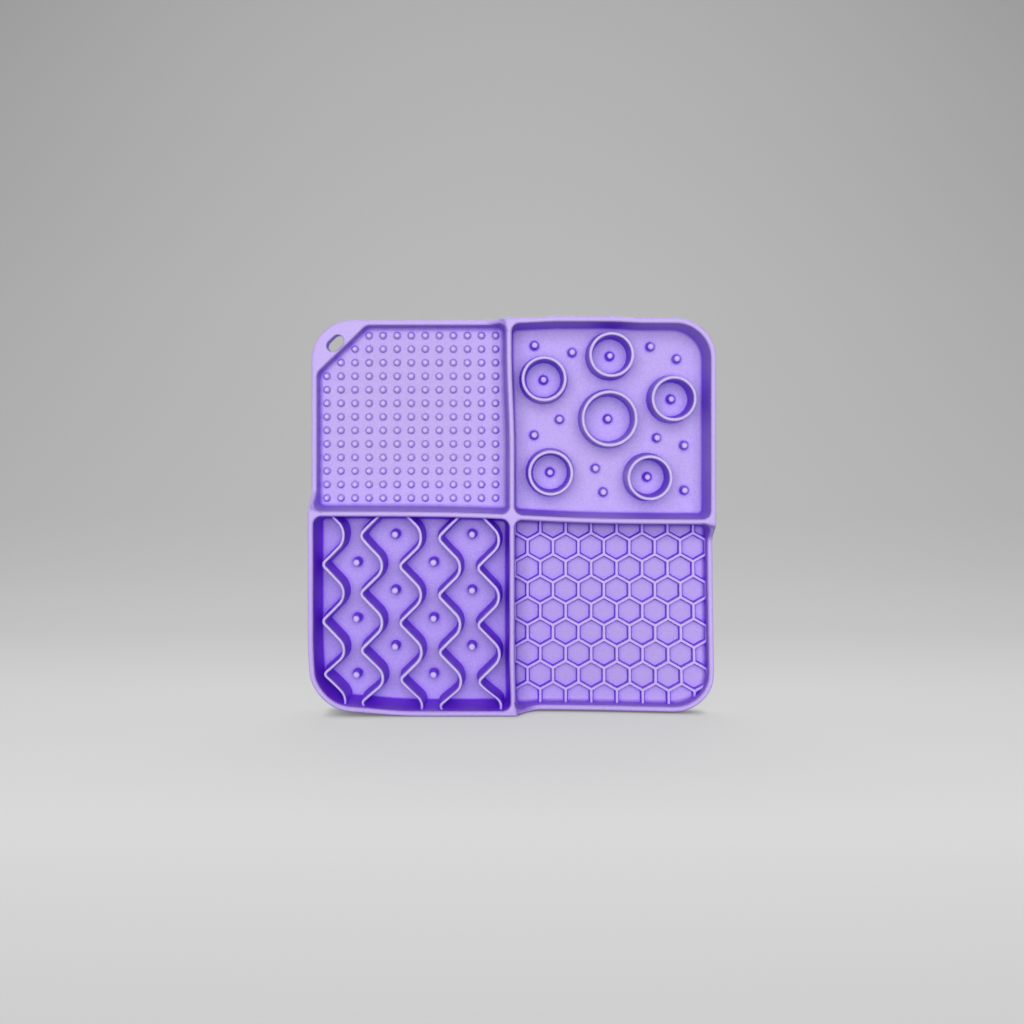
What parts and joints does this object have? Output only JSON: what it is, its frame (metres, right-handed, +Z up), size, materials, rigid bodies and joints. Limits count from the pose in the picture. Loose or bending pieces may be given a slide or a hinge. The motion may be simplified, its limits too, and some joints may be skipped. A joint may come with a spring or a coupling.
{
  "type": "lick mat",
  "caption": "Square soft mat with four trays of nubs, rings, wavy fins and honeycomb ribs, standing on its lower edge, with a hanging slot in one corner.",
  "frame": {"origin": "middle of the footprint on the plane that the lower edge stands on, halfway through the mat's thickness", "axes": "+Z up as the mat stands on its lower edge, -Y out of the trays towards whoever looks at them, +X to that viewer's right"},
  "size_m": [0.2, 0.021, 0.196],
  "materials": {
    "silicone": "satin",
    "silicone_texture": "satin"
  },
  "bodies": {
    "root": {"back_sheet": "silicone", "cross_divider": "silicone", "rings_tray_wall": "silicone", "waves_tray_wall": "silicone", "honeycomb_tray_wall": "silicone", "dots_tray_side_wall": "silicone", "dots_tray_top_wall": "silicone", "hanging_tab": "silicone", "dot_field": "silicone_texture", "ring_left": "silicone_texture", "ring_top": "silicone_texture", "ring_right": "silicone_texture", "ring_centre": "silicone_texture", "ring_lower_left": "silicone_texture", "ring_lower_right": "silicone_texture", "ring_pegs": "silicone_texture", "scattered_pegs": "silicone_texture", "wave_fin_1": "silicone_texture", "wave_fin_2": "silicone_texture", "wave_fin_3": "silicone_texture", "wave_fin_4": "silicone_texture", "wave_fin_5": "silicone_texture", "wave_pegs": "silicone_texture", "honeycomb_lattice": "silicone_texture"}
  },
  "joints": []
}
